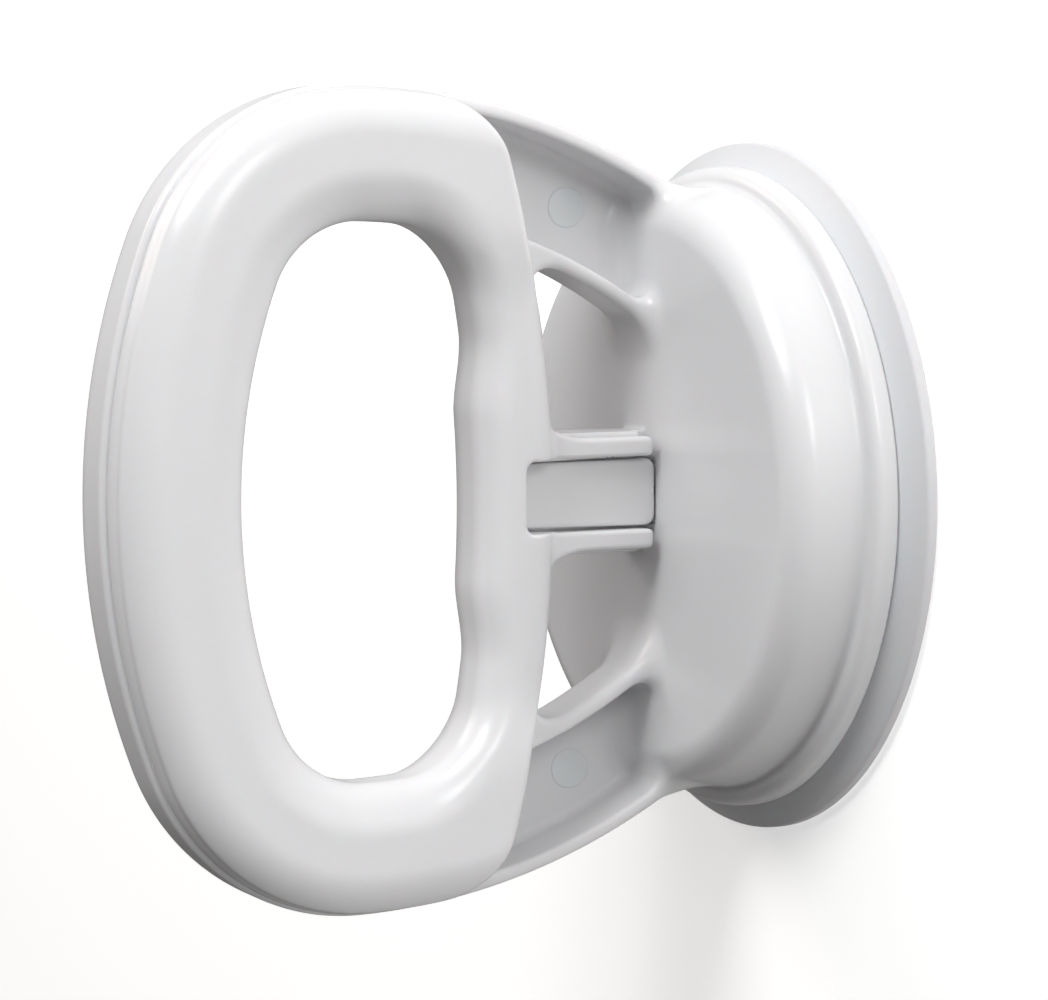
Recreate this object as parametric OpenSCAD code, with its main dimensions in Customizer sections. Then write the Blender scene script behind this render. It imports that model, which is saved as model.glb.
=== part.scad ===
// Suction grab handle: one rubber cup, a drum housing with a D-shaped ring handle, and a cam
// lever between two prongs that pulls the middle of the cup off the wall to hold it there.
// Millimetres. The wall is the plane Y = 0, the handle stands out along -Y, and +Z is up.

/* [Suction pad] */
// Outer radius of the rubber pad
pad_r = 62.5; // [61:0.5:66]
// Thickness of the pad under the housing's lip
pad_t = 4.7; // [4.2:0.1:4.8]
// How far the middle of the pad is drawn off the wall
pad_dome = 2.5; // [1.5:0.1:2.8]
// Inner radius of the flat sealing band
seal_r = 47; // [40:1:50]

/* [Housing drum] */
// Radius of the lip that presses on the pad
lip_r = 58.1; // [57:0.1:60]
// Radius of the drum wall where it meets the lip
drum_foot_r = 54.6; // [54:0.1:56]
// Radius of the drum wall below the rounded shoulder
drum_top_r = 52.9; // [52:0.1:54]
// Distance of the flat front face from the wall
face_h = 22; // [21.5:0.1:23]
// Rounding between the drum wall and the front face
shoulder_r = 5; // [3:0.5:7]
// Wall thickness of the drum
drum_wall = 2.6; // [2:0.1:3]

/* [Ring handle] */
// How far the handle reaches from the wall
reach = 126; // [124:0.5:128]
// Outer radius of the front bar's bow
bow_r = 129.25; // [127:0.25:131]
// Outer radius of the ring's corners
corner_r = 40.5; // [39:0.25:42]
// Outer radius of the two arms
arm_r = 120; // [118:1:124]
// Width of the ring's bar in the plane of the ring
bar_w = 23.6; // [22:0.2:25]
// Thickness of the ring's bar across that plane
bar_t = 26; // [24:0.5:28]
// Rounding of the ring's bar
bar_round = 9; // [6:0.5:10]
// Wall thickness of the two ring shells
shell_t = 2.6; // [2:0.1:3]
// Place of the seam between the shells, across the ring
seam_x = 4; // [3:0.5:5]
// Distance from the wall of the cover's edge, at the middle of the inner bar
cover_end = 45.75; // [45:0.25:46.5]

/* [Inner bar] */
// Distance of the inner bar's middle from the wall
inner_h = 50; // [49:0.5:51]
// Width of the inner bar in the plane of the ring
inner_w = 12.4; // [11:0.2:13]
// Thickness of the inner bar across that plane
inner_t = 23; // [21:0.5:24]
// Distance from the inner bar's middle line of its thicker middle, on the side of the fingers
swell_rise = 8.7; // [8:0.1:9]

/* [Lever] */
// Distance of the lever's pivot from the wall
pivot_h = 30.3; // [30:0.1:30.6]
// Radius of the lever's pivot pin
pin_r = 1.5; // [1.3:0.1:1.6]
// Distance of the lever's tip from the wall
tip_h = 50.1; // [49:0.1:50.1]
// Half width of the lever at its cam
lever_half_w = 5.6; // [5.2:0.1:5.7]
// Cam radius that bears on the housing with the lever locked
cam_lock_r = 8; // [7.8:0.1:8]
// Travel of the pull stud from locked to released
cam_travel = 2.5; // [2:0.1:2.5]

/* [Pull stud] */
// Radius of the pull stud
stud_r = 4; // [3.6:0.1:4]
// Radius of the disc moulded into the pad
disc_r = 14; // [12:0.5:15]

/* [Hidden] */

gloss_white = [0.93, 0.93, 0.94];
pad_white = [0.84, 0.86, 0.88];
lever_white = [0.86, 0.86, 0.87];
steel = [0.72, 0.73, 0.75];

lip_h = 4.8;                             // back of the lip, where it meets the pad
lip_top = 9;                             // front of the lip
bow_end = [0.936, 0.352];                // direction of the line on which bow and corner meet
bow_u = reach - bow_r;                   // middle of the front bow
corner_u = bow_u + bow_end[0] * (bow_r - corner_r);
corner_v = bow_end[1] * (bow_r - corner_r);
half_h = corner_v + corner_r;
arm_v = half_h - arm_r;
bow_mid_r = bow_r - bar_w / 2;
corner_mid_r = corner_r - bar_w / 2;
arm_mid_r = arm_r - bar_w / 2;
cover_turn = 112;                        // the cover's arms are drawn up to here, then cut to its edge
arm_turn = 128;                          // the arms run on into the drum up to here
inner_bow_r = 220;                       // the inner bar is bowed towards the wall
inner_turn = 12.1;
web_x = -8;                              // floor of the arms' open channels
corner_steps = 5;                        // flats in a quarter turn of the bar's section
fit = 0.05;                              // running clearance between parts
step = 0.01;

notch_half_w = 6.35;                     // the notch in the inner bar that the lever's tip lies in
notch_end = 51;
rail_out = 10.8;                         // the two rails between the face and the inner bar
rail_back = -7.5;
rail_end = 46;
prong_out = 10;                          // the cover's two prongs, beside the lever
prong_x = 7.6;
prong_start = 23.6;
prong_end_r = 1.2;
swell_r = 200;                           // the thicker middle is part of a round of this radius
swell_half_h = 24;
web_half_t = 9;                          // the webs in the corners of the finger opening
web_start = [52, 36.2];
web_size = [18.2, 11.8];
web_bore = [70.3, 36.2];                 // middle of the round in the opening's corner
web_bore_r = 11.6;

boss_r = 9;
boss_end = 12;
bush_r = 6.5;
tongue_t = 4.8;
tongue_w = 5.8;
slot_half = tongue_t / 2 + 0.3;
disc_back = 3.8;                         // the pull disc, inside the pad
disc_front = 5.4;
hub_r = 6.5;
hub_top = 6.3;
groove_start = 15.2;                     // the O-ring's groove in the stud
groove_end = 16.8;
groove_depth = 1.4;
o_ring_r = 0.66;
plate_x = [-13.8, 4.2];                  // the thrust plate's ends
plate_half_w = 5.6;
plate_t = 0.8;
plate_front = face_h + 0.2;
plate_screw = [-10.4, 3];                // place across and height of each of its screws

screw_r = 1.5;
post_r = 4;
insert_r = 2.42;
insert_h = 5.8;
screw_seat = -9.2;
screw_length = 18.5;
screw_head_r = 2.8;
screw_head_h = 2.1;
cap_r = 3.3;

function arc(cx, cy, r, from, to, n) =
    [for (i = [0:n]) [cx + r * cos(from + (to - from) * i / n), cy + r * sin(from + (to - from) * i / n)]];
function on_arc(cu, cv, r, turn) = [cu + r * cos(turn), cv + r * sin(turn)];

// The six screw places on the middle line of the ring's bar
screws = [for (side = [-1, 1]) each [
    let (p = on_arc(bow_u, 0, bow_mid_r, 10.6)) [p[0], side * p[1]],
    let (p = on_arc(corner_u, corner_v, corner_mid_r, 56)) [p[0], side * p[1]],
    let (p = on_arc(corner_u, arm_v, arm_mid_r, 100)) [p[0], side * p[1]]]];

// Turns a shape drawn with its height along Z so that it stands out from the wall
module off_wall() { rotate([90, 0, 0]) children(); }

// Turns a shape drawn as (distance from the wall, height) so that its thickness lies along X
module across() { rotate([-90, 0, -90]) children(); }

module lathe(points) { off_wall() rotate_extrude($fn = 180) polygon(points); }

module tube_off_wall(r, hole, from, to) {
    off_wall() difference() {
        translate([0, 0, from]) cylinder(r = r, h = to - from, $fn = 64);
        translate([0, 0, from - 1]) cylinder(r = hole, h = to - from + 2, $fn = 64);
    }
}

module rounded(w, h, r) {
    square([w - 2 * r, h], center = true);
    square([w, h - 2 * r], center = true);
    for (x = [-1, 1], y = [-1, 1]) translate([x * (w / 2 - r), y * (h / 2 - r)]) circle(r = r, $fn = 64);
}

// A bar swept round an arc in the plane of the ring
module swept(cu, cv, r, from, to) {
    across() translate([cu, cv, 0]) rotate([0, 0, from])
        rotate_extrude(angle = to - from, $fn = 240) translate([r, 0]) children();
}

// The part of a ring round (cu, cv) that lies between two directions
module sector(cu, cv, r, from, to) {
    c = [cu, cv];
    across() intersection() {
        translate([cu, cv, 0]) rotate_extrude($fn = 240) translate([r, 0]) children();
        linear_extrude(3 * bar_t, center = true)
            polygon([c, c + 200 * from, c + 200 * (from + to), c + 200 * to]);
    }
}

module both_sides() {
    children();
    mirror([0, 0, 1]) children();
}

// U-shaped section of a shell: open at x = edge, rounded towards x = back
module shell_section(edge, back, floor_x, inner_round) {
    s = sign(back - edge);
    w = bar_w / 2;
    wi = w - shell_t;
    r = min(bar_round, abs(back - edge));
    function corner(cx, cy, r, side) = [for (i = [0:corner_steps])
        let (a = 90 * (side > 0 ? i : corner_steps - i) / corner_steps)
        [side * (cx + r * cos(a)), cy + s * r * sin(a)]];
    polygon(concat(
        r < abs(back - edge) - step ? [[w, edge]] : [],
        corner(w - r, back - s * r, r, 1),
        corner(w - r, back - s * r, r, -1),
        r < abs(back - edge) - step ? [[-w, edge]] : [],
        [[-wi, edge]],
        [for (p = corner(wi - inner_round, floor_x - s * inner_round, inner_round, 1)) [-p[0], p[1]]],
        [for (p = corner(wi - inner_round, floor_x - s * inner_round, inner_round, -1)) [-p[0], p[1]]],
        [[wi, edge]]));
}

module inner_section(x_lo, x_hi) {
    intersection() {
        rounded(inner_w, inner_t, inner_w / 2 - step);
        translate([-inner_w, x_lo]) square([2 * inner_w, x_hi - x_lo]);
    }
}

// The ring's bar: bow and corners, and an arm on each side that runs round to arm_end
module ring_bars(edge, back, arm_floor, arm_end) {
    floor_x = back - sign(back) * shell_t;
    inner_round = abs(back - edge) > bar_round + 1 ? bar_round - shell_t : bar_round - shell_t - 0.2;
    sector(bow_u, 0, bow_mid_r, [bow_end[0], -bow_end[1]], bow_end)
        shell_section(edge, back, floor_x, inner_round);
    both_sides() {
        sector(corner_u, corner_v, corner_mid_r, bow_end, [0, 1])
            shell_section(edge, back, floor_x, inner_round);
        swept(corner_u, arm_v, arm_mid_r, 90, arm_end)
            shell_section(edge, back, arm_floor, arm_floor == floor_x ? inner_round : 1);
    }
}

// What lies on the ring's side of the cover's edge, a circle that runs on from the inner bar's back
module within_cover_edge(inwards) {
    across() translate([inner_h + inner_bow_r, 0, -bar_t])
        cylinder(r = inner_h + inner_bow_r - cover_end - inwards, h = 2 * bar_t, $fn = 360);
}

// End wall of the cover across each arm's channel
module end_wall(edge, back) {
    w = bar_w / 2 - 1;
    both_sides() difference() {
        intersection() {
            swept(corner_u, arm_v, arm_mid_r, 97, cover_turn)
                polygon([[-w, edge], [w, edge], [w, back - bar_round], [bar_round - w, back - 2],
                         [w - bar_round, back - 2], [-w, back - bar_round]]);
            within_cover_edge(0);
        }
        within_cover_edge(1.5);
    }
}

// The inner bar with its thicker middle and the webs that fill the corners of the opening
module inner_bar(x_lo, x_hi) {
    back = max(x_lo, -web_half_t);
    thick = min(x_hi, web_half_t) - back;
    difference() {
        union() {
            swept(inner_h + inner_bow_r, 0, inner_bow_r, 180 - inner_turn, 180 + inner_turn)
                inner_section(x_lo, x_hi);
            across() translate([0, 0, back]) intersection() {
                translate([inner_h + swell_rise - swell_r, 0]) cylinder(r = swell_r, h = thick, $fn = 360);
                translate([inner_h, -swell_half_h]) cube([2 * swell_rise, 2 * swell_half_h, thick]);
            }
            both_sides() across() translate([0, 0, back]) {
                linear_extrude(thick) difference() {
                    translate(web_start) square(web_size);
                    translate(web_bore) circle(r = web_bore_r, $fn = 96);
                    translate([corner_u, arm_v]) difference() {
                        circle(r = 2 * arm_r, $fn = 96);
                        circle(r = arm_r - bar_w + 0.6, $fn = 240);
                    }
                }
            }
        }
        translate([-20, -notch_end, -notch_half_w]) cube([40, 30, 2 * notch_half_w]);
    }
}

// A round of the same size at each screw place
module at_screws(r, x_lo, x_hi) {
    across() for (p = screws) translate([p[0], p[1], x_lo]) cylinder(r = r, h = x_hi - x_lo, $fn = 48);
}

// Rubber cup: a flat sealing band, a shallow dome and a thick middle round the pull disc
module suction_pad() {
    color(pad_white) difference() {
        lathe(concat(
            [[0, pad_dome], [8, pad_dome], [30, pad_dome * 0.55], [seal_r, 0]],
            arc(pad_r - 0.7, 0.7, 0.7, -90, 0, 4),
            arc(pad_r - 1.2, 1.5, 1.2, 0, 60, 4),
            [[59.6, 3.5]],
            arc(57.6, pad_t - 1, 1, 40, 90, 3),
            [[51, pad_t], [49, 3.9], [20, 4.3], [17, hub_top], [0, hub_top]]));
        tube_off_wall(disc_r + fit, 0, disc_back - fit, disc_front + fit);
        tube_off_wall(hub_r + fit, 0, disc_front - fit, hub_top + 1);
    }
}

// Steel disc moulded into the pad, with a tapped hub for the stud
module pull_disc() {
    color(steel) difference() {
        union() {
            tube_off_wall(disc_r, stud_r + fit, disc_back, disc_front);
            tube_off_wall(hub_r, stud_r + fit, disc_front - 0.1, hub_top);
        }
        for (turn = [0:60:300]) off_wall() rotate([0, 0, turn]) translate([10.4, 0, 0])
            cylinder(r = 1.5, h = 10, $fn = 32);
    }
}

// Round stud with a groove for the O-ring and a flat tongue for the pivot pin
module pull_stud() {
    tongue_start = 22;
    color(steel) difference() {
        union() {
            tube_off_wall(stud_r, 0, disc_back + 0.1, tongue_start);
            intersection() {
                tube_off_wall(stud_r, 0, tongue_start - step, pivot_h + tongue_w);
                union() {
                    translate([-tongue_w / 2, -pivot_h, -tongue_t / 2])
                        cube([tongue_w, pivot_h - tongue_start + step, tongue_t]);
                    translate([0, -pivot_h, -tongue_t / 2])
                        cylinder(r = tongue_w / 2, h = tongue_t, $fn = 48);
                }
            }
        }
        translate([0, -pivot_h, -10]) cylinder(r = pin_r + 0.02, h = 20, $fn = 48);
        difference() {
            tube_off_wall(stud_r + 1, 0, groove_start, groove_end);
            tube_off_wall(stud_r - groove_depth, 0, groove_start - 1, groove_end + 1);
        }
    }
}

module stud_nut() {
    color(steel) off_wall() difference() {
        translate([0, 0, hub_top + 0.1]) cylinder(r = 6.6, h = 3.4, $fn = 6);
        cylinder(r = stud_r + 0.02, h = 20, $fn = 64);
    }
}

module spring_washer() {
    color(steel) tube_off_wall(14, 9.6, hub_top + 0.05, hub_top + 0.95);
}

// Compression spring between the pad's washer and the inside of the drum's face
module return_spring() {
    wire_r = 0.8;
    coil_r = 11.6;
    turns = 3.5;
    per_turn = 20;
    sides = 8;
    low = hub_top + 1.05 + wire_r;
    high = face_h - drum_wall - 0.1 - wire_r;
    n = turns * per_turn;
    points = [for (i = [0:n], j = [0:sides - 1])
        let (a = 360 * i / per_turn, b = 360 * j / sides, r = coil_r + wire_r * cos(b))
        [r * cos(a), r * sin(a), low + (high - low) * i / n + wire_r * sin(b)]];
    faces = concat(
        [[for (j = [0:sides - 1]) j]],
        [[for (j = [sides - 1:-1:0]) n * sides + j]],
        [for (i = [0:n - 1], j = [0:sides - 1]) let (k = (j + 1) % sides)
            [i * sides + j, (i + 1) * sides + j, (i + 1) * sides + k, i * sides + k]]);
    color(steel) off_wall() polyhedron(points, faces);
}

// Flanged plastic bearing that guides the stud
module guide_bush() {
    color([0.25, 0.26, 0.28]) {
        tube_off_wall(bush_r, stud_r + fit, boss_end - step, 19);
        tube_off_wall(8.6, stud_r + fit, boss_end - 1.2, boss_end);
    }
}

module stud_o_ring() {
    color([0.12, 0.12, 0.13]) off_wall() translate([0, 0, (groove_start + groove_end) / 2])
        rotate_extrude($fn = 64) translate([stud_r - groove_depth / 2 + 0.02, 0])
            circle(r = o_ring_r, $fn = 24);
}

// Steel plate let into the housing's face, on which the cam bears
module thrust_plate() {
    color(steel) difference() {
        translate([plate_x[0], -plate_front, -plate_half_w])
            cube([plate_x[1] - plate_x[0], plate_t, 2 * plate_half_w]);
        tube_off_wall(stud_r + 0.25, 0, 15, 30);
        at_plate_screws() cylinder(r = 1.1, h = 30, $fn = 32);
    }
}

module at_plate_screws() {
    for (z = [-1, 1]) translate([plate_screw[0], 0, z * plate_screw[1]]) off_wall() children();
}

module plate_screws() {
    length = 2;
    color(steel) at_plate_screws() {
        translate([0, 0, plate_front]) cylinder(r = 1.9, h = 0.5, $fn = 32);
        translate([0, 0, plate_front - length]) cylinder(r = 1, h = length + step, $fn = 32);
    }
}

// Lever with a spiral cam: its radius falls evenly as it turns, so the stud moves evenly
module cam_lever() {
    cam_gap = 0.15;
    back_x = -4.2;
    front_x = 3;
    heel_back = -7;
    heel_front = 6.9;
    cam = [for (t = [0:10:90])
        let (r = cam_lock_r - cam_gap - cam_travel * t / 90) [-r * sin(t), r * cos(t)]];
    tip = tip_h - pivot_h;
    color(lever_white) translate([0, -pivot_h, 0]) difference() {
        intersection() {
            translate([0, 0, -lever_half_w]) linear_extrude(2 * lever_half_w) polygon(concat(
                cam,
                [[back_x, heel_back], [back_x, -tip], [front_x, -tip], [front_x, heel_front]]));
            translate([-20, 0, 0]) rotate([0, 90, 0]) linear_extrude(40) polygon([
                [-lever_half_w, 9], [lever_half_w, 9], [lever_half_w, 0],
                [lever_half_w - 0.5, -30], [0.5 - lever_half_w, -30], [-lever_half_w, 0]]);
        }
        translate([-12, -3.3, -slot_half]) cube([20, 20, 2 * slot_half]);
        translate([0, 0, -20]) cylinder(r = 2.52, h = 40, $fn = 48);
    }
}

// Smooth tapered panel that faces the lever
module lever_cover() {
    corner = 1.6;
    front_end = tip_h + 0.4;
    heel = face_h + 0.5;
    color(lever_white) across() translate([0, 0, 3.05]) hull() {
        for (v = [-1, 1]) {
            translate([heel + corner, v * (lever_half_w + 0.3 - corner), 0])
                cylinder(r = corner, h = 2, $fn = 32);
            translate([front_end - corner, v * (lever_half_w - 0.25 - corner), 0])
                cylinder(r = corner, h = 2, $fn = 32);
        }
    }
}

module lever_bushes() {
    color([0.25, 0.26, 0.28]) for (side = [0, 1]) mirror([0, 0, side]) translate([0, -pivot_h, slot_half])
        difference() {
            cylinder(r = 2.5, h = lever_half_w - slot_half, $fn = 48);
            translate([0, 0, -1]) cylinder(r = pin_r + fit, h = 10, $fn = 48);
        }
}

module lever_pin() {
    color(steel) translate([0, -pivot_h, -lever_half_w + 0.1])
        cylinder(r = pin_r, h = 2 * lever_half_w - 0.2, $fn = 48);
}

// Leaf spring at the end of the notch, which keeps the locked lever from rattling
module lever_catch() {
    color(steel) translate([-5, -notch_end + 0.01, -4]) cube([2.2, 0.4, 8]);
}

// The drum, both arms and the rear shell of the ring are one moulding
module handle_frame() {
    color(gloss_white) {
        difference() {
            union() {
                lathe(concat(
                    [[0, lip_h], [lip_r, lip_h]],
                    arc(lip_r - 2, lip_top - 2, 2, 0, 90, 6),
                    [[drum_foot_r, lip_top + 0.3]],
                    arc(drum_top_r - shoulder_r, face_h - shoulder_r, shoulder_r, 0, 90, 8),
                    [[0, face_h]]));
                ring_bars(seam_x, -bar_t / 2, web_x, arm_turn);
                inner_bar(-inner_t / 2, seam_x);
                at_screws(post_r, -bar_t / 2 + 0.4, seam_x);
                both_sides() translate([rail_back, -rail_end, notch_half_w + step])
                    cube([seam_x - rail_back, rail_end - face_h + 0.4, rail_out - notch_half_w]);
            }
            lathe([[0, lip_h - 1], [drum_foot_r - 3, lip_h - 1], [drum_foot_r - 3, lip_top],
                   [drum_top_r - drum_wall, 16.6], [drum_top_r - shoulder_r, face_h - drum_wall],
                   [0, face_h - drum_wall]]);
            tube_off_wall(stud_r + 0.3, 0, 10, 30);
            translate([plate_x[0] - 0.2, -30, -plate_half_w - 0.2])
                cube([plate_x[1] - plate_x[0] + 0.3, 30 - plate_front + plate_t, 2 * plate_half_w + 0.4]);
            at_plate_screws() cylinder(r = 1.05, h = 30, $fn = 32);
            at_screws(screw_r + 0.2, -20, 20);
            at_screws(cap_r + 0.02, -20, screw_seat);
        }
        tube_off_wall(boss_r, bush_r + 0.02, boss_end, face_h - drum_wall + step);
    }
}

// Front shell of the ring with the two prongs that flank the lever
module grip_cover() {
    low = seam_x + fit;
    color(gloss_white) difference() {
        union() {
            intersection() {
                ring_bars(low, bar_t / 2, bar_t / 2 - shell_t, cover_turn);
                within_cover_edge(0);
            }
            end_wall(low, bar_t / 2);
            inner_bar(low, inner_t / 2);
            at_screws(post_r, low, bar_t / 2 - 0.6);
            both_sides() hull() {
                for (v = [notch_half_w + prong_end_r, prong_out - prong_end_r]) across()
                    translate([prong_start + prong_end_r, -v, low])
                        cylinder(r = prong_end_r, h = prong_x - low - 0.4, $fn = 32);
                translate([low, -rail_end, notch_half_w]) cube([prong_x - low, 1, prong_out - notch_half_w]);
            }
        }
        at_screws(insert_r + 0.03, low - 1, low + insert_h + 0.4);
        at_screws(screw_r + fit, low, low + insert_h + 1);
    }
}

module threaded_inserts() {
    low = seam_x + 0.15;
    color([0.78, 0.62, 0.3]) across() for (p = screws) translate([p[0], p[1], low]) difference() {
        cylinder(r = insert_r, h = insert_h, $fn = 48);
        translate([0, 0, -1]) cylinder(r = screw_r + fit, h = 10, $fn = 48);
    }
}

module cover_screws() {
    color(steel) across() for (p = screws) translate([p[0], p[1], screw_seat]) {
        difference() {
            translate([0, 0, -screw_head_h]) cylinder(r = screw_head_r, h = screw_head_h, $fn = 48);
            translate([0, 0, -screw_head_h - 1]) cylinder(r = 1.3, h = 2.1, $fn = 6);
        }
        cylinder(r = screw_r, h = screw_length, $fn = 48);
    }
}

module screw_caps() {
    color(gloss_white) across() for (p = screws) translate([p[0], p[1], -bar_t / 2 + 0.1])
        cylinder(r = cap_r, h = 1.2, $fn = 48);
}

suction_pad();
pull_disc();
pull_stud();
stud_nut();
spring_washer();
return_spring();
guide_bush();
stud_o_ring();
thrust_plate();
plate_screws();
cam_lever();
lever_cover();
lever_bushes();
lever_pin();
lever_catch();
handle_frame();
grip_cover();
threaded_inserts();
cover_screws();
screw_caps();
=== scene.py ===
"""Looks of the suction grab handle: smooth moulded shells, rubber pad, materials, light and camera.

The two plastic shells are described once as distance fields, in millimetres, with u the distance from
the wall (-Y), v the height (Z) and x across the ring (X). build_shell() turns a field into a mesh.
"""

import math

import bpy
import bmesh
import numpy as np
from mathutils import Matrix, Vector


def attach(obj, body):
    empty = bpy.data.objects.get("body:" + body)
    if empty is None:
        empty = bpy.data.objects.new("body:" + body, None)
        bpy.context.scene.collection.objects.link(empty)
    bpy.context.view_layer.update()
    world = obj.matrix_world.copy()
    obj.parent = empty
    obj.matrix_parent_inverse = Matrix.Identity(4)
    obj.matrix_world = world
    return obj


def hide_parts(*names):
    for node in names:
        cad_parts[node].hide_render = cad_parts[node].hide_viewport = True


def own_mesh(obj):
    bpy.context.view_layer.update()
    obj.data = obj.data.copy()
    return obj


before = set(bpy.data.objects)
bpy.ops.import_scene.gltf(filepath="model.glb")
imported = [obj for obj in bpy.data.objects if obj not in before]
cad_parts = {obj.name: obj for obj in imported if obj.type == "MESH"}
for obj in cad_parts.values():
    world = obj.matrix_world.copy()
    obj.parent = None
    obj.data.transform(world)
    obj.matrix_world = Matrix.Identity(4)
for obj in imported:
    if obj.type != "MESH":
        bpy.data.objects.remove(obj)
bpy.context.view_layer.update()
MM = 0.001
GRID = 0.55  # spacing of the grid that the shells are meshed on, mm

# ---------------------------------------------------------------- sizes, the same as the CAD's, in mm

PAD_R = 62.5
PAD_T = 4.7
PAD_DOME = 2.5
SEAL_R = 47
PAD_SPLIT_R = 49.4  # outside this radius the rim lies still
PAD_CORE_R = 17.2  # inside this radius the cup moves with the stud; between the two the real cup flattens, the mesh does not
LIP_R = 58.1
LIP_BACK = 4.8
LIP_FRONT = 9.2
DRUM_FOOT_R = 54.6
DRUM_TOP_R = 52.9
TAPER_TOP = 17  # the drum's radius is DRUM_TOP_R here
INSIDE_TAPER = 0.13  # the drum's inside narrows by this for each mm away from the wall
FACE = 22
SHOULDER = 5
WALL = 2.6
FACE_IN = FACE - WALL  # inside of the drum's face
BOSS_R = 9  # the boss round the stud's bearing
BOSS_END = 12
BEARING_R = 6.52  # the bore for the bearing in the boss
STUD_HOLE_R = 4.3  # the hole for the stud through the drum's face
REACH = 126
BOW_R = 129.25
CORNER_R = 40.5
ARM_R = 120
BAR_W = 23.6
BAR_T = 26
BAR_ROUND = 9
SEAM = 4
SEAM_GAP = 0.05
SEAM_LIP = 1.3  # rounding of the shells' edges at the seam
BOW_END = (0.936, 0.352)
BOW_U = REACH - BOW_R
CORNER_U = BOW_U + BOW_END[0] * (BOW_R - CORNER_R)
CORNER_V = BOW_END[1] * (BOW_R - CORNER_R)
HALF_H = CORNER_V + CORNER_R
ARM_V = HALF_H - ARM_R
INNER_U = 50
INNER_BOW = 220
INNER_W = 12.4
INNER_T = 23
INNER_ROUND = 6
OPEN_R = 10.5  # rounding of the finger opening's corners
GAP_R = 8  # rounding of the outer corners of the gaps above and below the lever
EDGE_BACK = 3.8  # how far the cover's edge over the arms lies from the inner bar's middle line
EDGE_ROUND = 10  # rounding of the cover's edge where it meets the ring's outside
END_WALL = 2.4  # thickness of the cover's ends across the arms' channels
SKIRT_X = -5  # the cover wraps the opening's side of the bars down to here
SKIRT_GAP = 0.1
WEB_X = -8
CHANNEL_U = 72  # the hollow is a channel on the wall's side of this, and a closed bore beyond
BORE_EDGE = 0.7  # rounding of the frame's edges round the hollow
ARM_FILLET = 5.0  # between the ring's arms and the drum
NOTCH_V = 6.35
NOTCH_U = 51
NOTCH_R = 1.8
RAIL_V = 10.8
RAIL_X = -7.5
RAIL_END = 46
RAIL_STEP_U = 25  # beyond this the rails stay below RAIL_STEP_X
RAIL_STEP_X = 0.5
PRONG_V = 10
PRONG_X = 7.6
PRONG_U = 23.6
PRONG_END = 47
FLARE = 2.3  # the prongs widen by this towards the inner bar
FLARE_U = 37
FLARE_LENGTH = 8
POCKET_X = (-14, 4.3)  # the pocket in the drum's face for the thrust plate and the lever's cam
POCKET_V = 5.8
POCKET_U = (FACE - 0.6, 30)
SEAM_BAND = 9.2  # the cover is a little lower than the frame from the seam up to here
SEAM_INSET = 0.45
SWELL = 2.5  # the inner bar is thicker in its middle by this
POST_R = 4.8
SCREW_HOLE_R = 1.7
SCREW_SEAT_R = 3.32  # the seats of the screw heads and caps, in the rear
SCREW_SEAT = -9.2
SOCKET_R = 2.45  # the holes in the cover for the threaded inserts
SOCKET_DEPTH = 6.2
MARK_U = 33.2  # the ejector marks on the floors of the arms' channels
MARK_V = 50.9


def arc_point(cu, cv, r, degrees):
    """The point (u, v) on a circle round (cu, cv), at an angle from +u."""
    return (cu + r * math.cos(math.radians(degrees)), cv + r * math.sin(math.radians(degrees)))


SCREWS = [
    arc_point(BOW_U, 0, BOW_R - BAR_W / 2, 10.6),
    arc_point(CORNER_U, CORNER_V, CORNER_R - BAR_W / 2, 56),
    arc_point(CORNER_U, ARM_V, ARM_R - BAR_W / 2, 100),
]

# ---------------------------------------------------------------- distance fields


def both(a, b, r):
    """What is in a and in b, with the edge between them rounded to radius r."""
    return np.minimum(-r, np.maximum(a, b)) + np.hypot(np.maximum(a + r, 0), np.maximum(b + r, 0))


def either(a, b, r):
    """What is in a or in b, with a fillet of radius r in the corner between them."""
    return np.maximum(r, np.minimum(a, b)) - np.hypot(np.maximum(r - a, 0), np.maximum(r - b, 0))


def between(a, low, high):
    """What lies between two parallel planes."""
    return np.maximum(low - a, a - high)


def ring_offset(u, v):
    """Distance from the middle line of the ring's bar, negative on its inner side."""
    bow = np.hypot(u - BOW_U, v) - (BOW_R - BAR_W / 2)
    corner = np.hypot(u - CORNER_U, v - CORNER_V) - (CORNER_R - BAR_W / 2)
    arm = np.hypot(u - CORNER_U, v - ARM_V) - (ARM_R - BAR_W / 2)
    past = BOW_END[0] * (v - CORNER_V) - BOW_END[1] * (u - CORNER_U)
    return np.where(past < 0, bow, np.where(u > CORNER_U, corner, arm))


def inner_offset(u, v):
    """Distance from the middle line of the inner bar, positive towards the wall."""
    return np.hypot(u - INNER_U - INNER_BOW, v) - INNER_BOW


def smooth(value, start, end):
    """Rises smoothly from 0 to 1 as value goes from start to end."""
    part = np.clip((value - start) / (end - start), 0, 1)
    return part * part * (3 - 2 * part)


def finger_side(x, u, v):
    """Depth below the finger opening's surface, negative in the solid. The opening widens to the rear."""
    t = inner_offset(u, v)
    middle = SWELL * (1 - smooth(v, 14, 29))
    opening = both(ring_offset(u, v) + BAR_W / 2, t + INNER_W / 2 + middle, OPEN_R)
    return np.maximum(2 - x, 0) ** 2 / 26 - opening


def ring_body(x, u, v):
    """The outside of the ring and the inner bar. The bar is thinner and rounder in the middle."""
    s = ring_offset(u, v)
    gap = both(s + BAR_W / 2, INNER_W / 2 - inner_offset(u, v), GAP_R)
    plan = np.maximum(np.maximum(s - BAR_W / 2, -gap), finger_side(x, u, v))
    half_t = INNER_T / 2 + (BAR_T - INNER_T) / 2 * smooth(s, -24, -8)
    rounding = INNER_ROUND + (BAR_ROUND - INNER_ROUND) * smooth(s, -15, -6)
    return both(plan, np.abs(x) - half_t, rounding)


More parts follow.
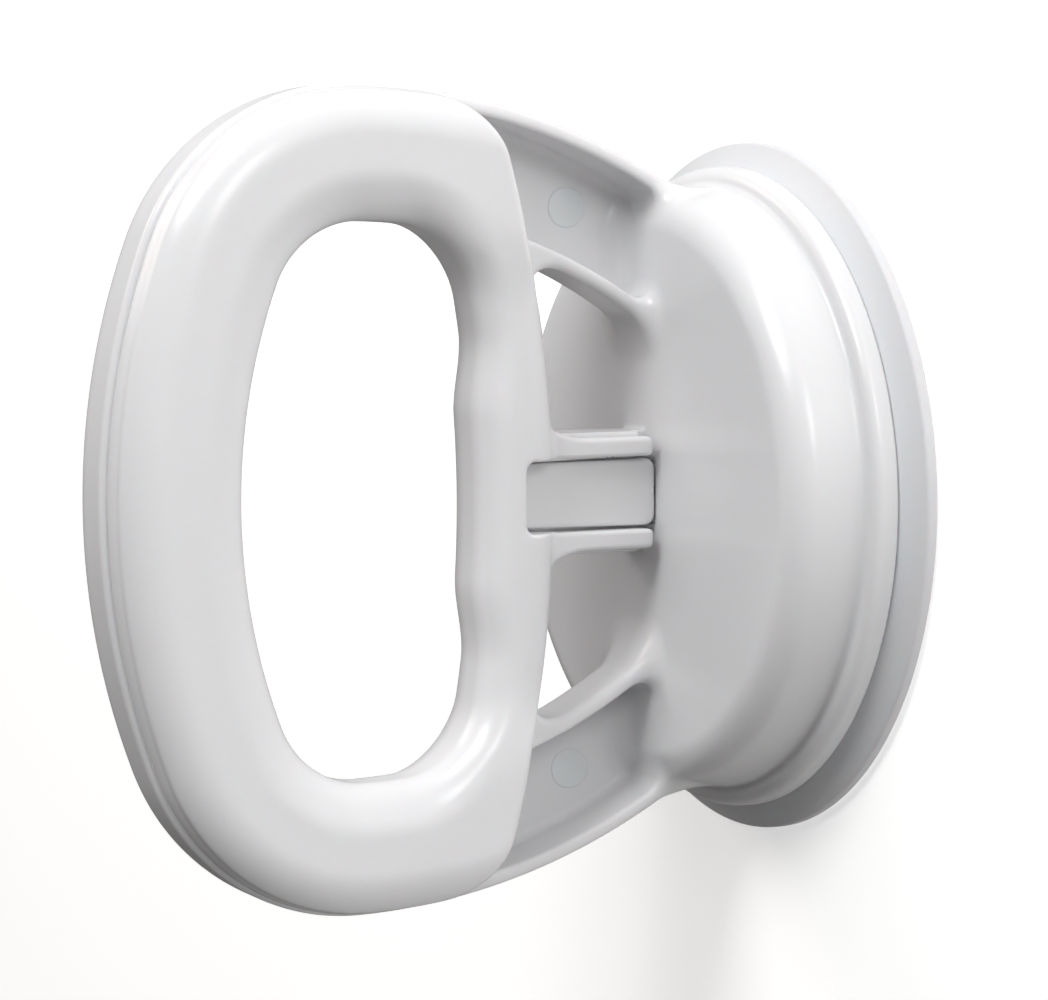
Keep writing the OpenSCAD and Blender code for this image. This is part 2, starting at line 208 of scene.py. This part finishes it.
def skirt(x, u, v):
    """The part of the bars' wall on the finger opening's side that belongs to the cover."""
    return np.maximum(SKIRT_X - x, -WALL - finger_side(x, u, v))


def cover_edge(u, v):
    """The cover's edge towards the wall: it cuts the arms, and leaves the inner bar whole."""
    reach = EDGE_BACK + 3.5 * (1 - smooth(v, 24, 46))
    return inner_offset(u, v) - reach


def hollow(x, u, v, edge):
    """The inside of the ring's bar. In the frame it goes on along the arms, as a channel with a flat
    floor. In the cover, which has an edge, it ends short of that edge.
    """
    s = ring_offset(u, v)
    side = np.maximum(np.abs(s) - (BAR_W / 2 - WALL), finger_side(x, u, v) + WALL)
    bore = both(side, np.abs(x) - (BAR_T / 2 - WALL), BAR_ROUND - WALL)
    channel = both(side, WEB_X - x, 2.0)
    if edge is not None:
        return np.maximum(bore, both(s - (BAR_W / 2 - WALL), edge + END_WALL, EDGE_ROUND - END_WALL))
    return np.minimum(np.maximum(bore, CHANNEL_U - u), np.maximum(channel, u - CHANNEL_U))


def posts(u, v, r):
    """Round bars of radius r along X, one on each screw."""
    return np.minimum.reduce([np.hypot(u - screw_u, v - screw_v) - r for screw_u, screw_v in SCREWS])


def drum(x, u, v):
    """The outside of the housing: a slightly tapered drum on a lip."""
    rho = np.hypot(x, v)
    taper = (DRUM_FOOT_R - DRUM_TOP_R) / (TAPER_TOP - LIP_FRONT)
    wall = (rho - DRUM_FOOT_R + (u - LIP_FRONT) * taper) / math.hypot(1, taper)
    body = both(wall, u - FACE, SHOULDER)
    lip = both(rho - LIP_R, u - LIP_FRONT, 2.0)
    return both(either(body, lip, 0.7), LIP_BACK - u, 0.6)


def drum_inside(x, u, v):
    """The room in the drum round its boss, with the bore for the bearing and the hole for the stud."""
    rho = np.hypot(x, v)
    room = both(rho - (DRUM_TOP_R - WALL + (TAPER_TOP - u) * INSIDE_TAPER), u - FACE_IN, 3.0)
    boss = both(rho - BOSS_R, BOSS_END - u, 0.6)
    room = both(room, -boss, 0.8)
    bore = np.maximum(rho - BEARING_R, u - FACE_IN)
    return np.minimum(np.minimum(room, bore), np.maximum(rho - STUD_HOLE_R, u - FACE - 1))


def notch(u, v):
    """The space between the prongs and in the inner bar that the lever lies in."""
    return both(v - NOTCH_V, u - NOTCH_U, NOTCH_R)


def rails(x, u, v):
    """The two rails between the drum and the inner bar."""
    rail = both(between(v, NOTCH_V, RAIL_V), between(x, RAIL_X, SEAM), 0.6)
    rail = np.maximum(rail, between(u, FACE - 0.5, RAIL_END))
    return np.maximum(rail, -np.maximum(u - RAIL_STEP_U, RAIL_STEP_X - x))


def prongs(x, u, v, low):
    """The cover's two prongs beside the lever."""
    flare = FLARE * np.clip((u - FLARE_U) / FLARE_LENGTH, 0, 1) ** 2
    prong = both(between(v, NOTCH_V, PRONG_V + flare), between(x, low, PRONG_X), 0.9)
    return both(prong, between(u, PRONG_U, PRONG_END), 1.4)


def frame_field(x, u, z):
    """The rear half: drum, lip, arms, rear of the ring and of the inner bar, and rails."""
    v = np.abs(z)
    ring = both(ring_body(x, u, v), np.maximum(x - SEAM, SKIRT_GAP - skirt(x, u, v)), SEAM_LIP)
    ring = both(ring, -hollow(x, u, v, None), BORE_EDGE)
    post = np.maximum(posts(u, v, POST_R), between(x, 1 - BAR_T / 2, SEAM))
    ring = either(ring, post, 0.8)
    whole = either(ring, drum(x, u, v), ARM_FILLET)
    whole = either(whole, rails(x, u, v), 0.6)
    whole = both(whole, -np.maximum(notch(u, v), FACE + 0.3 - u), 0.5)
    pocket = np.maximum(between(x, *POCKET_X), np.maximum(v - POCKET_V, POCKET_U[0] - u))
    pocket = np.maximum(pocket, u - POCKET_U[1])
    seats = both(posts(u, v, SCREW_SEAT_R), x - SCREW_SEAT, 0.2)
    whole = np.maximum(whole, -drum_inside(x, u, v))
    whole = np.maximum(whole, -pocket)
    whole = np.maximum(whole, -posts(u, v, SCREW_HOLE_R))
    return both(whole, -seats, 0.4)


def cover_field(x, u, z):
    """The front half: front of the ring and of the inner bar, and the prongs."""
    v = np.abs(z)
    low = SEAM + SEAM_GAP
    inset = SEAM_INSET * (1 - smooth(x, SEAM_BAND - 1.6, SEAM_BAND)) * smooth(ring_offset(u, v), 2, 6)
    ring = both(ring_body(x, u, v) + inset, np.minimum(low - x, skirt(x, u, v)), SEAM_LIP)
    edge = cover_edge(u, v)
    ring = both(ring, both(ring_offset(u, v) - BAR_W / 2, edge, EDGE_ROUND), 1.5)
    ring = either(ring, prongs(x, u, v, low), 1.6)
    ring = both(ring, -hollow(x, u, v, edge), 0.3)
    post = np.maximum(posts(u, v, POST_R), between(x, low, BAR_T / 2 - 1))
    ring = either(ring, post, 0.8)
    ring = both(ring, -notch(u, v), 0.5)
    sockets = np.maximum(posts(u, v, SOCKET_R), x - (low + SOCKET_DEPTH))
    return np.maximum(ring, -sockets)


# ---------------------------------------------------------------- from field to mesh


def sampled(field, low, high, step):
    """The field on a regular grid, worked out slab by slab to keep memory small."""
    axes = [np.arange(a, b + step, step, dtype=np.float32) for a, b in zip(low, high)]
    values = np.empty([len(a) for a in axes], np.float32)
    u = -axes[1][None, :, None]
    for k in range(0, len(axes[2]), 16):
        z = axes[2][None, None, k : k + 16]
        values[:, :, k : k + 16] = field(axes[0][:, None, None], u, z)
    return axes, values


def surface_net(axes, values):
    """A quad mesh of the field's zero surface: one vertex in each cell that the surface crosses."""
    inside = values < 0
    nx, ny, nz = (n - 1 for n in values.shape)
    corners = [(i, j, k) for i in (0, 1) for j in (0, 1) for k in (0, 1)]

    def corner(array, c):
        return array[c[0] : c[0] + nx, c[1] : c[1] + ny, c[2] : c[2] + nz]

    count = sum(corner(inside, c).astype(np.uint8) for c in corners)
    active = (count > 0) & (count < 8)
    cells = np.argwhere(active)
    number = np.full(active.shape, -1, np.int64)
    number[active] = np.arange(len(cells))
    at = {c: values[tuple((cells + c).T)] for c in corners}
    total = np.zeros((len(cells), 3))
    hits = np.zeros(len(cells))
    for a in corners:
        for axis in range(3):
            if a[axis]:
                continue
            b = tuple(n + (i == axis) for i, n in enumerate(a))
            crossed = (at[a] < 0) != (at[b] < 0)
            part = np.where(crossed, at[a] / np.where(crossed, at[a] - at[b], 1), 0)
            point = np.array(a, float)[None, :] + part[:, None] * np.eye(3)[axis]
            total += point * crossed[:, None]
            hits += crossed
    step = float(axes[0][1] - axes[0][0])
    verts = np.array([a[0] for a in axes]) + step * (cells + total / hits[:, None])
    quads = []
    for axis in range(3):
        o1, o2 = (i for i in range(3) if i != axis)
        lower = np.take(inside, range(inside.shape[axis] - 1), axis)
        upper = np.take(inside, range(1, inside.shape[axis]), axis)
        edges = np.argwhere(lower != upper)
        keep = (edges[:, o1] > 0) & (edges[:, o2] > 0)
        keep &= (edges[:, o1] < values.shape[o1] - 1) & (edges[:, o2] < values.shape[o2] - 1)
        edges = edges[keep]
        around = []
        for d1, d2 in ((1, 1), (0, 1), (0, 0), (1, 0)):
            cell = edges.copy()
            cell[:, o1] -= d1
            cell[:, o2] -= d2
            around.append(number[tuple(cell.T)])
        quad = np.stack(around, 1)
        flip = lower[tuple(edges.T)] != (axis == 1)
        quad[~flip] = quad[~flip][:, ::-1]
        quads.append(quad)
    return verts, np.concatenate(quads)


def gradient(field, p, h=0.02):
    """The field's slope at the points p, from its values a small step h to either side."""

    def at(d):
        q = p + d
        return field(q[:, 0], -q[:, 1], q[:, 2])

    return np.stack([(at(h * e) - at(-h * e)) / (2 * h) for e in np.eye(3)], 1)


def close_pinches(mesh):
    """Collapses the few edges at which two walls touch, so that every edge has two faces."""
    bm = bmesh.new()
    bm.from_mesh(mesh)
    pinched = [edge for edge in bm.edges if len(edge.link_faces) != 2]
    bmesh.ops.collapse(bm, edges=pinched)
    bm.to_mesh(mesh)
    bm.free()
    mesh.validate()
    mesh.update()


def build_shell(name, field, low, high, step):
    """Meshes a field inside a box, and moves each vertex on to the exact surface."""
    axes, values = sampled(field, low, high, step)
    verts, quads = surface_net(axes, values)
    for _ in range(2):
        g = gradient(field, verts)
        d = field(verts[:, 0], -verts[:, 1], verts[:, 2])
        move = -d[:, None] * g / np.maximum((g * g).sum(1), 0.05)[:, None]
        verts += np.clip(move, -0.6 * step, 0.6 * step)
    mesh = bpy.data.meshes.new(name)
    mesh.from_pydata((verts * MM).tolist(), [], quads.tolist())
    close_pinches(mesh)
    obj = bpy.data.objects.new(name, mesh)
    bpy.context.collection.objects.link(obj)
    for polygon in mesh.polygons:
        polygon.use_smooth = True
    return obj


def new_object(name, bm):
    """An object in the scene from a bmesh, which is freed."""
    mesh = bpy.data.meshes.new(name)
    bm.to_mesh(mesh)
    bm.free()
    obj = bpy.data.objects.new(name, mesh)
    bpy.context.collection.objects.link(obj)
    return obj


def round_corner(cx, cy, r, start, end, steps=8):
    """Points on an arc of an outline, angles in degrees."""
    turns = [math.radians(start + (end - start) * i / steps) for i in range(steps + 1)]
    return [(cx + r * math.cos(a), cy + r * math.sin(a)) for a in turns]


def lathe(name, outline, centre=(0, 0, 0), axis="Y", segments=256):
    """A closed outline of (radius, height) points turned round an axis; height runs along -Y or -X."""
    bm = bmesh.new()
    rings = []
    for i in range(segments):
        a = 2 * math.pi * i / segments
        ring = []
        for r, h in outline:
            if axis == "Y":
                p = (r * math.cos(a), -h, r * math.sin(a))
            else:
                p = (-h, r * math.sin(a), r * math.cos(a))
            ring.append(bm.verts.new((Vector(p) + Vector(centre)) * MM))
        rings.append(ring)
    n = len(outline)
    for i in range(segments):
        for j in range(n):
            a, b = rings[i], rings[(i + 1) % segments]
            bm.faces.new((a[j], b[j], b[(j + 1) % n], a[(j + 1) % n]))
    bmesh.ops.remove_doubles(bm, verts=bm.verts, dist=1e-7)
    bmesh.ops.dissolve_degenerate(bm, edges=bm.edges, dist=1e-7)
    bmesh.ops.recalc_face_normals(bm, faces=bm.faces)
    obj = new_object(name, bm)
    for polygon in obj.data.polygons:
        polygon.use_smooth = True
    return obj


# ---------------------------------------------------------------- pieces


def make_pad_rim():
    """The outer part of the rubber cup: a fine edge lip, a step under the housing's lip, sealing ribs."""
    top = [(PAD_R - 1.9, 2.9), (59.2, 3.7)] + round_corner(57.4, PAD_T - 0.9, 0.9, 50, 90, 4)
    edge = round_corner(PAD_R - 0.45, 0.45, 0.45, -90, 0, 5)
    edge += round_corner(PAD_R - 0.75, 1.45, 0.75, 0, 75, 6)
    under = [(PAD_SPLIT_R, 0.0)]
    for r in np.arange(PAD_SPLIT_R + 1, PAD_R - 3, 1.5):
        under += [(r - 0.35, 0.0), (r, 0.18), (r + 0.35, 0.0)]
    return lathe("pad_rim", under + edge + top + [(50.5, PAD_T), (PAD_SPLIT_R, 4.1)], segments=360)


def make_pad_dome():
    """The thin dome between the rim and the middle of the rubber cup. The real dome flattens as the cup
    lets go; this mesh keeps its domed shape.
    """
    dome = [(20, PAD_DOME * 0.95), (25, PAD_DOME * 0.79), (30, PAD_DOME * 0.58), (40, PAD_DOME * 0.2)]
    outline = [(PAD_CORE_R, PAD_DOME)] + dome + [(SEAL_R, 0.02), (PAD_SPLIT_R, 0.0), (PAD_SPLIT_R, 4.1)]
    return lathe("pad_dome", outline + [(30, 4.3), (PAD_CORE_R, 4.6)], segments=360)


def make_pad_core():
    """The middle of the rubber cup, moulded round the pull disc, with which it moves."""
    outline = [(0.0, PAD_DOME), (PAD_CORE_R - 0.05, PAD_DOME), (PAD_CORE_R - 0.05, 4.6)]
    outline += round_corner(16, 5.4, 0.9, 0, 90, 4)
    pocket = [(6.6, 6.3), (6.55, 5.45), (14.05, 5.45), (14.05, 3.75), (0.0, 3.75)]
    return lathe("pad_core", outline + pocket, segments=360)


def make_lever_cover():
    """Tapered panel with round corners, a softly crowned face and rounded edges."""
    heel, tip, corner = FACE + 0.25, 50.6, 1.9
    wide, narrow = 6.0, 5.75
    outline = round_corner(tip - corner, narrow - corner, corner, 0, 90)
    outline += round_corner(heel + corner, wide - corner, corner, 90, 180)
    outline += [(u, -v) for u, v in reversed(outline)]
    bm = bmesh.new()
    rows = ((3.05, 0.0), (4.35, 0.0), (4.75, 0.12), (4.95, 0.4), (5.02, 0.9), (5.05, 2.2))
    mid_u = (heel + tip) / 2
    rings = []
    for x, inset in rows:
        ring = []
        for u, v in outline:
            far = math.hypot(u - mid_u, v)
            k = 1 - inset / max(far, inset + 1)
            ring.append(bm.verts.new((x * MM, -(mid_u + (u - mid_u) * k) * MM, v * k * MM)))
        rings.append(ring)
    n = len(outline)
    for a, b in zip(rings, rings[1:]):
        for j in range(n):
            bm.faces.new((a[j], a[(j + 1) % n], b[(j + 1) % n], b[j]))
    bm.faces.new(rings[-1])
    bm.faces.new(list(reversed(rings[0])))
    bmesh.ops.recalc_face_normals(bm, faces=bm.faces)
    obj = new_object("lever_panel", bm)
    for polygon in obj.data.polygons:
        polygon.use_smooth = len(polygon.vertices) == 4
    return obj


def make_ejector_mark(sign):
    """The round, very slightly raised witness of an ejector pin on the floor of an arm's channel."""
    outline = [(0.0, 0.3), (3.7, 0.3), (3.7, -0.02), (3.45, -0.09), (3.2, -0.02), (0.0, -0.02)]
    name = "ejector_mark_upper" if sign > 0 else "ejector_mark_lower"
    centre = (WEB_X, -MARK_U, sign * MARK_V)
    return lathe(name, outline, centre, axis="X", segments=64)


def make_cap(index, u, z):
    """A round cap with a soft edge over a cover screw."""
    outline = [(0.0, 11.7), (3.25, 11.7), (3.25, 12.65), (3.05, 12.85), (2.2, 12.92), (0.0, 12.95)]
    return lathe(f"screw_cap_{index}", outline, centre=(0, -u, z), axis="X", segments=64)


# ---------------------------------------------------------------- materials


def node_material(name, colour, roughness, **sockets):
    """A Principled material: returns the material, its shader and its node tree."""
    material = bpy.data.materials.new(name)
    material.use_nodes = True
    tree = material.node_tree
    shader = tree.nodes["Principled BSDF"]
    shader.inputs["Base Color"].default_value = (*colour, 1)
    shader.inputs["Roughness"].default_value = roughness
    for key, value in sockets.items():
        shader.inputs[key.replace("_", " ")].default_value = value
    return material, shader, tree


def add_variation(tree, shader, colour, spread, scale, roughness, roughness_spread):
    """Cloudy change of colour and roughness, as in moulded plastic or rubber."""
    place = tree.nodes.new("ShaderNodeTexCoord")
    noise = tree.nodes.new("ShaderNodeTexNoise")
    noise.inputs["Scale"].default_value = scale
    noise.inputs["Detail"].default_value = 4
    ramp = tree.nodes.new("ShaderNodeValToRGB")
    dark = [c * (1 - spread) for c in colour]
    ramp.color_ramp.elements[0].color = (*dark, 1)
    ramp.color_ramp.elements[0].position = 0.3
    ramp.color_ramp.elements[1].color = (*colour, 1)
    ramp.color_ramp.elements[1].position = 0.7
    tree.links.new(place.outputs["Object"], noise.inputs["Vector"])
    tree.links.new(noise.outputs["Fac"], ramp.inputs["Fac"])
    tree.links.new(ramp.outputs["Color"], shader.inputs["Base Color"])
    fine = tree.nodes.new("ShaderNodeTexNoise")
    fine.inputs["Scale"].default_value = scale * 9
    fine.inputs["Detail"].default_value = 5
    band = tree.nodes.new("ShaderNodeMapRange")
    band.inputs["To Min"].default_value = roughness - roughness_spread
    band.inputs["To Max"].default_value = roughness + roughness_spread
    tree.links.new(place.outputs["Object"], fine.inputs["Vector"])
    tree.links.new(fine.outputs["Fac"], band.inputs["Value"])
    tree.links.new(band.outputs["Result"], shader.inputs["Roughness"])
    return place


def add_grain(tree, shader, place, scale, strength, distance):
    """Fine surface texture left by the mould or the tool."""
    noise = tree.nodes.new("ShaderNodeTexNoise")
    noise.inputs["Scale"].default_value = scale
    noise.inputs["Detail"].default_value = 3
    bump = tree.nodes.new("ShaderNodeBump")
    bump.inputs["Strength"].default_value = strength
    bump.inputs["Distance"].default_value = distance
    tree.links.new(place.outputs["Object"], noise.inputs["Vector"])
    tree.links.new(noise.outputs["Fac"], bump.inputs["Height"])
    tree.links.new(bump.outputs["Normal"], shader.inputs["Normal"])


def moulded(name, colour, roughness, spread, grain, **sockets):
    """Plastic or rubber as it comes out of a mould."""
    material, shader, tree = node_material(name, colour, roughness, **sockets)
    place = add_variation(tree, shader, colour, spread, 26, roughness, 0.04)
    add_grain(tree, shader, place, 1800, grain, 0.00003)
    return material


def turned(name, colour, roughness):
    """Metal with fine lines left by turning, round the part's axis."""
    material, shader, tree = node_material(name, colour, roughness, Metallic=1.0)
    place = add_variation(tree, shader, colour, 0.12, 90, roughness, 0.06)
    wave = tree.nodes.new("ShaderNodeTexWave")
    wave.bands_direction = "Y"
    wave.inputs["Scale"].default_value = 900
    wave.inputs["Distortion"].default_value = 1.5
    bump = tree.nodes.new("ShaderNodeBump")
    bump.inputs["Strength"].default_value = 0.25
    bump.inputs["Distance"].default_value = 0.00002
    tree.links.new(place.outputs["Object"], wave.inputs["Vector"])
    tree.links.new(wave.outputs["Fac"], bump.inputs["Height"])
    tree.links.new(bump.outputs["Normal"], shader.inputs["Normal"])
    return material


SHELL_WHITE = moulded(
    "white_plastic", (0.79, 0.79, 0.803), 0.24, 0.02, 0.2, Subsurface_Weight=0.12, Subsurface_Scale=0.002
)
LEVER_WHITE = moulded("lever_plastic", (0.77, 0.77, 0.78), 0.38, 0.03, 0.4)
PAD_RUBBER = moulded(
    "pad_rubber", (0.71, 0.72, 0.74), 0.44, 0.03, 0.5, Subsurface_Weight=0.2, Subsurface_Scale=0.002
)
SEAL_RUBBER = moulded("seal_rubber", (0.02, 0.02, 0.02), 0.6, 0.2, 0.8)
BEARING = moulded("bearing_plastic", (0.05, 0.052, 0.056), 0.45, 0.15, 0.5)
STEEL = turned("turned_steel", (0.62, 0.63, 0.65), 0.28)
BRASS = turned("turned_brass", (0.72, 0.50, 0.18), 0.3)

CAD_MATERIALS = {
    "pull_disc": STEEL,
    "pull_stud": STEEL,
    "stud_nut": STEEL,
    "spring_washer": STEEL,
    "return_spring": STEEL,
    "thrust_plate": STEEL,
    "plate_screws": STEEL,
    "lever_pin": STEEL,
    "lever_catch": STEEL,
    "cover_screws": STEEL,
    "guide_bush": BEARING,
    "lever_bushes": BEARING,
    "stud_o_ring": SEAL_RUBBER,
    "cam_lever": LEVER_WHITE,
    "threaded_inserts": BRASS,
}


def finish_piece(obj, material, slot_name, body, *nodes):
    """Gives a piece its material and body, and hides the CAD nodes that it stands for. slot_name is not
    used.
    """
    obj.data.materials.clear()
    obj.data.materials.append(material)
    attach(obj, body)
    if nodes:
        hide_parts(*nodes)
    return obj


def build_object():
    shell = build_shell("frame_shell", frame_field, (-60, -128, -73), (60, -3, 73), GRID)
    finish_piece(shell, SHELL_WHITE, "shell_plastic", "root", "handle_frame")
    cover = build_shell("cover_shell", cover_field, (-6.5, -128, -73), (14.5, -22.5, 73), GRID * 0.8)
    finish_piece(cover, SHELL_WHITE, "shell_plastic", "root", "grip_cover")
    finish_piece(make_pad_rim(), PAD_RUBBER, "pad_rubber", "root", "suction_pad")
    dome = finish_piece(make_pad_dome(), PAD_RUBBER, "pad_rubber", "root", "suction_pad")
    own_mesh(dome)
    finish_piece(make_pad_core(), PAD_RUBBER, "pad_rubber", "stud")
    finish_piece(make_lever_cover(), LEVER_WHITE, "lever_plastic", "lever", "lever_cover")
    for sign in (-1, 1):
        finish_piece(make_ejector_mark(sign), SHELL_WHITE, "shell_plastic", "root")
    caps = [(u, sign * v) for sign in (-1, 1) for u, v in SCREWS]
    for index, (u, z) in enumerate(caps):
        finish_piece(make_cap(index + 1, u, z), SHELL_WHITE, "shell_plastic", "root", "screw_caps")
    for node, material in CAD_MATERIALS.items():
        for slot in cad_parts[node].material_slots:
            slot.material = material


# ---------------------------------------------------------------- camera, floor and light

ROOM_LIGHT = (  # from straight below to straight above
    (0.0, (0.06, 0.056, 0.052)),
    (0.42, (0.16, 0.153, 0.147)),
    (0.6, (0.60, 0.60, 0.605)),
    (1.0, (1.0, 1.0, 1.0)),
)


def make_camera(azimuth=63.636, elevation=3.939, roll=-0.385, distance=600, side=-41.194, rise=-2.687):
    """Looks parallel to a line at that azimuth and elevation, shifted sideways and down, in mm."""
    a, e, r = (math.radians(n) for n in (azimuth, elevation, roll))
    back = Vector((math.sin(a) * math.cos(e), -math.cos(a) * math.cos(e), math.sin(e)))
    level = (-back).cross(Vector((0, 0, 1))).normalized()
    upright = level.cross(-back)
    right = math.cos(r) * level + math.sin(r) * upright
    up = -math.sin(r) * level + math.cos(r) * upright
    data = bpy.data.cameras.new("camera")
    data.sensor_width = 36
    data.lens = 112.36
    data.clip_start = 0.01
    data.clip_end = 50
    camera = bpy.data.objects.new("camera", data)
    place = Matrix((right, up, back)).transposed().to_4x4()
    place.translation = (back * distance + right * side + up * rise) * MM
    camera.matrix_world = place
    bpy.context.collection.objects.link(camera)
    bpy.context.scene.camera = camera


def make_light(name, place, target, size, power, colour=(1, 1, 1)):
    """A round soft box that points at target."""
    data = bpy.data.lights.new(name, "AREA")
    data.shape = "DISK"
    data.size = size
    data.energy = power
    data.color = colour
    light = bpy.data.objects.new(name, data)
    light.location = place
    light.rotation_euler = (Vector(target) - Vector(place)).to_track_quat("-Z", "Y").to_euler()
    bpy.context.collection.objects.link(light)


def make_world():
    """White where the camera sees it. As light it is bright above and grey below, like a soft-box room."""
    world = bpy.data.worlds.new("studio")
    world.use_nodes = True
    tree = world.node_tree
    seen = tree.nodes["Background"]
    seen.inputs["Color"].default_value = (1, 1, 1, 1)
    seen.inputs["Strength"].default_value = 1.05
    light = tree.nodes.new("ShaderNodeBackground")
    place = tree.nodes.new("ShaderNodeTexCoord")
    split = tree.nodes.new("ShaderNodeSeparateXYZ")
    ramp = tree.nodes.new("ShaderNodeValToRGB")
    height = tree.nodes.new("ShaderNodeMapRange")
    height.inputs["From Min"].default_value = -1
    while len(ramp.color_ramp.elements) < len(ROOM_LIGHT):
        ramp.color_ramp.elements.new(0.5)
    for element, (position, colour) in zip(ramp.color_ramp.elements, ROOM_LIGHT):
        element.position = position
        element.color = (*colour, 1)
    light.inputs["Strength"].default_value = 0.62
    path = tree.nodes.new("ShaderNodeLightPath")
    mix = tree.nodes.new("ShaderNodeMixShader")
    tree.links.new(place.outputs["Generated"], split.inputs["Vector"])
    tree.links.new(split.outputs["Z"], height.inputs["Value"])
    tree.links.new(height.outputs["Result"], ramp.inputs["Fac"])
    tree.links.new(ramp.outputs["Color"], light.inputs["Color"])
    tree.links.new(path.outputs["Is Camera Ray"], mix.inputs["Fac"])
    tree.links.new(light.outputs["Background"], mix.inputs[1])
    tree.links.new(seen.outputs["Background"], mix.inputs[2])
    tree.links.new(mix.outputs["Shader"], tree.nodes["World Output"].inputs["Surface"])
    bpy.context.scene.world = world


def make_floor():
    """A pale floor, well below the part. It shows, but throws no light back up at the part."""
    bm = bmesh.new()
    bmesh.ops.create_circle(bm, cap_ends=True, radius=8, segments=128)
    floor = new_object("floor", bm)
    floor.location = (0, 0, -0.3)
    floor.visible_diffuse = False
    floor.visible_glossy = False
    material = node_material("floor_white", (0.93, 0.93, 0.925), 0.7)[0]
    floor.data.materials.append(material)


def make_wall():
    """The white wall that the cup holds on to. Seen from behind it lets everything through."""
    bm = bmesh.new()
    bmesh.ops.create_grid(bm, x_segments=1, y_segments=1, size=4)
    wall = new_object("wall", bm)
    wall.rotation_euler = (math.radians(90), 0, 0)
    wall.location = (0, 0.0004, 0)
    wall.visible_glossy = False
    material, shader, tree = node_material("wall_white", (0.95, 0.945, 0.935), 0.8)
    shader.inputs["Emission Color"].default_value = (1, 1, 1, 1)
    shader.inputs["Emission Strength"].default_value = 0.44
    clear = tree.nodes.new("ShaderNodeBsdfTransparent")
    side = tree.nodes.new("ShaderNodeNewGeometry")
    mix = tree.nodes.new("ShaderNodeMixShader")
    tree.links.new(side.outputs["Backfacing"], mix.inputs["Fac"])
    tree.links.new(shader.outputs["BSDF"], mix.inputs[1])
    tree.links.new(clear.outputs["BSDF"], mix.inputs[2])
    tree.links.new(mix.outputs["Shader"], tree.nodes["Material Output"].inputs["Surface"])
    wall.data.materials.append(material)


def make_studio():
    bpy.context.scene.view_settings.view_transform = "Standard"
    make_world()
    make_floor()
    make_wall()
    make_light("key", (0.35, -0.75, 1.1), (0, -0.05, 0), 0.9, 4.6)
    make_light("front", (0.35, -1.0, 1.0), (0, -0.05, 0), 0.6, 7)
    make_light("side", (1.4, -0.15, 0.7), (0, -0.04, 0.02), 0.5, 4.2)
    make_light("fill", (-0.7, -0.7, 0.5), (0, -0.03, 0), 0.5, 1.8, (1.0, 0.9, 0.84))


build_object()
make_camera()
make_studio()
